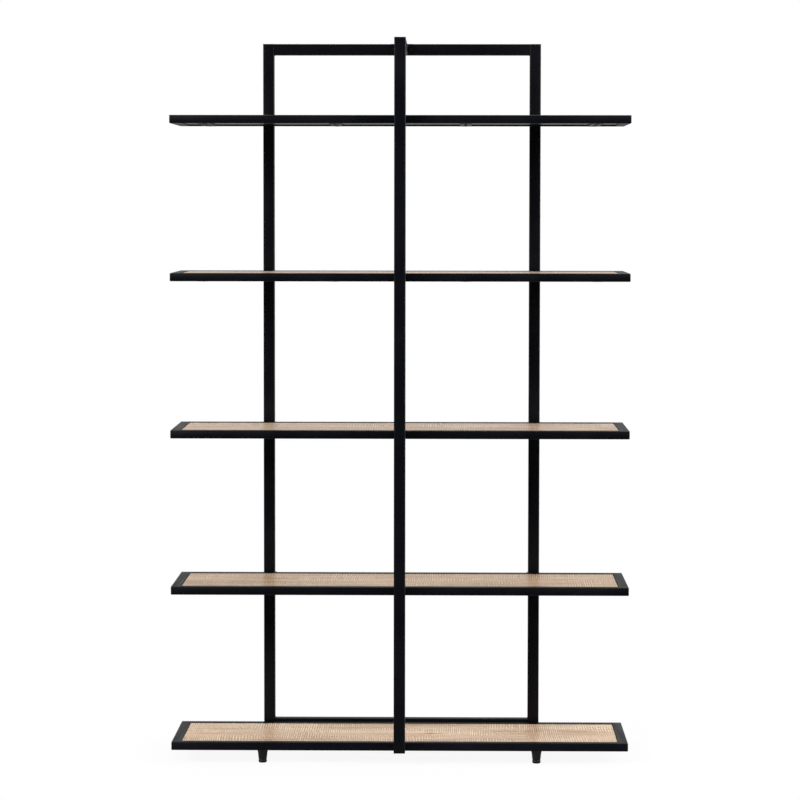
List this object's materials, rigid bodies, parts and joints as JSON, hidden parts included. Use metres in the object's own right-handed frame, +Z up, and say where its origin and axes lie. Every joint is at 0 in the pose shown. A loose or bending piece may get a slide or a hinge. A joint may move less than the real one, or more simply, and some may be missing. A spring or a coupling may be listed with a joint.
{
  "type": "bookcase with adjustable shelves",
  "caption": "Tall open bookcase: black steel tube frame with a central front post, wooden shelves in steel rims clamped at adjustable heights, and levelling feet.",
  "frame": {"origin": "on the floor, in the middle of the footprint", "axes": "+X to the right seen from the front, +Y from the front post to the rear frame, +Z up"},
  "size_m": [1.2, 0.4, 1.897],
  "materials": {
    "black_powder_coat": "satin",
    "light_wood": "rough_sawn",
    "black_plastic": "matte",
    "black_fasteners": "black_oxide"
  },
  "bodies": {
    "base": {"rear_left_upright": "black_powder_coat", "rear_right_upright": "black_powder_coat", "rear_top_rail": "black_powder_coat", "rear_bottom_rail": "black_powder_coat", "front_post": "black_powder_coat", "post_base_plate": "black_powder_coat", "top_crossbar": "black_powder_coat", "crossbar_flange": "black_powder_coat", "flange_left_screw": "black_fasteners", "flange_right_screw": "black_fasteners", "base_front_screw": "black_fasteners", "base_left_screw": "black_fasteners", "base_right_screw": "black_fasteners", "bottom_shelf_frame": "black_powder_coat", "bottom_shelf_front_board": "light_wood", "bottom_shelf_rear_board": "light_wood"},
    "lower_shelf": {"lower_shelf_frame": "black_powder_coat", "lower_shelf_front_board": "light_wood", "lower_shelf_rear_board": "light_wood", "lower_shelf_front_screw": "black_fasteners", "lower_shelf_front_nut": "black_fasteners", "lower_shelf_left_screw": "black_fasteners", "lower_shelf_left_nut": "black_fasteners", "lower_shelf_right_screw": "black_fasteners", "lower_shelf_right_nut": "black_fasteners"},
    "middle_shelf": {"middle_shelf_frame": "black_powder_coat", "middle_shelf_front_board": "light_wood", "middle_shelf_rear_board": "light_wood", "middle_shelf_front_screw": "black_fasteners", "middle_shelf_front_nut": "black_fasteners", "middle_shelf_left_screw": "black_fasteners", "middle_shelf_left_nut": "black_fasteners", "middle_shelf_right_screw": "black_fasteners", "middle_shelf_right_nut": "black_fasteners"},
    "upper_shelf": {"upper_shelf_frame": "black_powder_coat", "upper_shelf_front_board": "light_wood", "upper_shelf_rear_board": "light_wood", "upper_shelf_front_screw": "black_fasteners", "upper_shelf_front_nut": "black_fasteners", "upper_shelf_left_screw": "black_fasteners", "upper_shelf_left_nut": "black_fasteners", "upper_shelf_right_screw": "black_fasteners", "upper_shelf_right_nut": "black_fasteners"},
    "top_shelf": {"top_shelf_frame": "black_powder_coat", "top_shelf_front_board": "light_wood", "top_shelf_rear_board": "light_wood", "top_shelf_front_screw": "black_fasteners", "top_shelf_front_nut": "black_fasteners", "top_shelf_left_screw": "black_fasteners", "top_shelf_left_nut": "black_fasteners", "top_shelf_right_screw": "black_fasteners", "top_shelf_right_nut": "black_fasteners"},
    "front_left_pad": {"front_left_foot_pad": "black_plastic"},
    "front_left_column": {"front_left_foot_column": "black_plastic"},
    "front_right_pad": {"front_right_foot_pad": "black_plastic"},
    "front_right_column": {"front_right_foot_column": "black_plastic"},
    "rear_left_pad": {"rear_left_foot_pad": "black_plastic"},
    "rear_left_column": {"rear_left_foot_column": "black_plastic"},
    "rear_right_pad": {"rear_right_foot_pad": "black_plastic"},
    "rear_right_column": {"rear_right_foot_column": "black_plastic"}
  },
  "joints": [
    {"name": "lower_shelf_height", "type": "slide", "parent": "base", "child": "lower_shelf", "axis": [0, 0, 1], "range_m": [-0.1, 0.1]},
    {"name": "middle_shelf_height", "type": "slide", "parent": "base", "child": "middle_shelf", "axis": [0, 0, 1], "range_m": [-0.1, 0.1]},
    {"name": "upper_shelf_height", "type": "slide", "parent": "base", "child": "upper_shelf", "axis": [0, 0, 1], "range_m": [-0.1, 0.1]},
    {"name": "top_shelf_height", "type": "slide", "parent": "base", "child": "top_shelf", "axis": [0, 0, 1], "range_m": [-0.1, 0.1]},
    {"name": "front_left_foot_extend", "type": "slide", "parent": "base", "child": "front_left_pad", "axis": [0, 0, -1], "range_m": [0, 0.012]},
    {"name": "front_left_foot_turn", "type": "hinge", "parent": "front_left_pad", "child": "front_left_column", "pos_m": [-0.36, -0.1572, 0], "axis": [0, 0, -1], "range_deg": [0, 3456]},
    {"name": "front_right_foot_extend", "type": "slide", "parent": "base", "child": "front_right_pad", "axis": [0, 0, -1], "range_m": [0, 0.012]},
    {"name": "front_right_foot_turn", "type": "hinge", "parent": "front_right_pad", "child": "front_right_column", "pos_m": [0.36, -0.1572, 0], "axis": [0, 0, -1], "range_deg": [0, 3456]},
    {"name": "rear_left_foot_extend", "type": "slide", "parent": "base", "child": "rear_left_pad", "axis": [0, 0, -1], "range_m": [0, 0.012]},
    {"name": "rear_left_foot_turn", "type": "hinge", "parent": "rear_left_pad", "child": "rear_left_column", "pos_m": [-0.36, 0.185, 0], "axis": [0, 0, -1], "range_deg": [0, 3456]},
    {"name": "rear_right_foot_extend", "type": "slide", "parent": "base", "child": "rear_right_pad", "axis": [0, 0, -1], "range_m": [0, 0.012]},
    {"name": "rear_right_foot_turn", "type": "hinge", "parent": "rear_right_pad", "child": "rear_right_column", "pos_m": [0.36, 0.185, 0], "axis": [0, 0, -1], "range_deg": [0, 3456]}
  ],
  "couplings": [
    {"joint": "front_left_foot_extend", "follows": "front_left_foot_turn", "m_per_rad": 0.00019894},
    {"joint": "front_right_foot_extend", "follows": "front_right_foot_turn", "m_per_rad": 0.00019894},
    {"joint": "rear_left_foot_extend", "follows": "rear_left_foot_turn", "m_per_rad": 0.00019894},
    {"joint": "rear_right_foot_extend", "follows": "rear_right_foot_turn", "m_per_rad": 0.00019894}
  ]
}
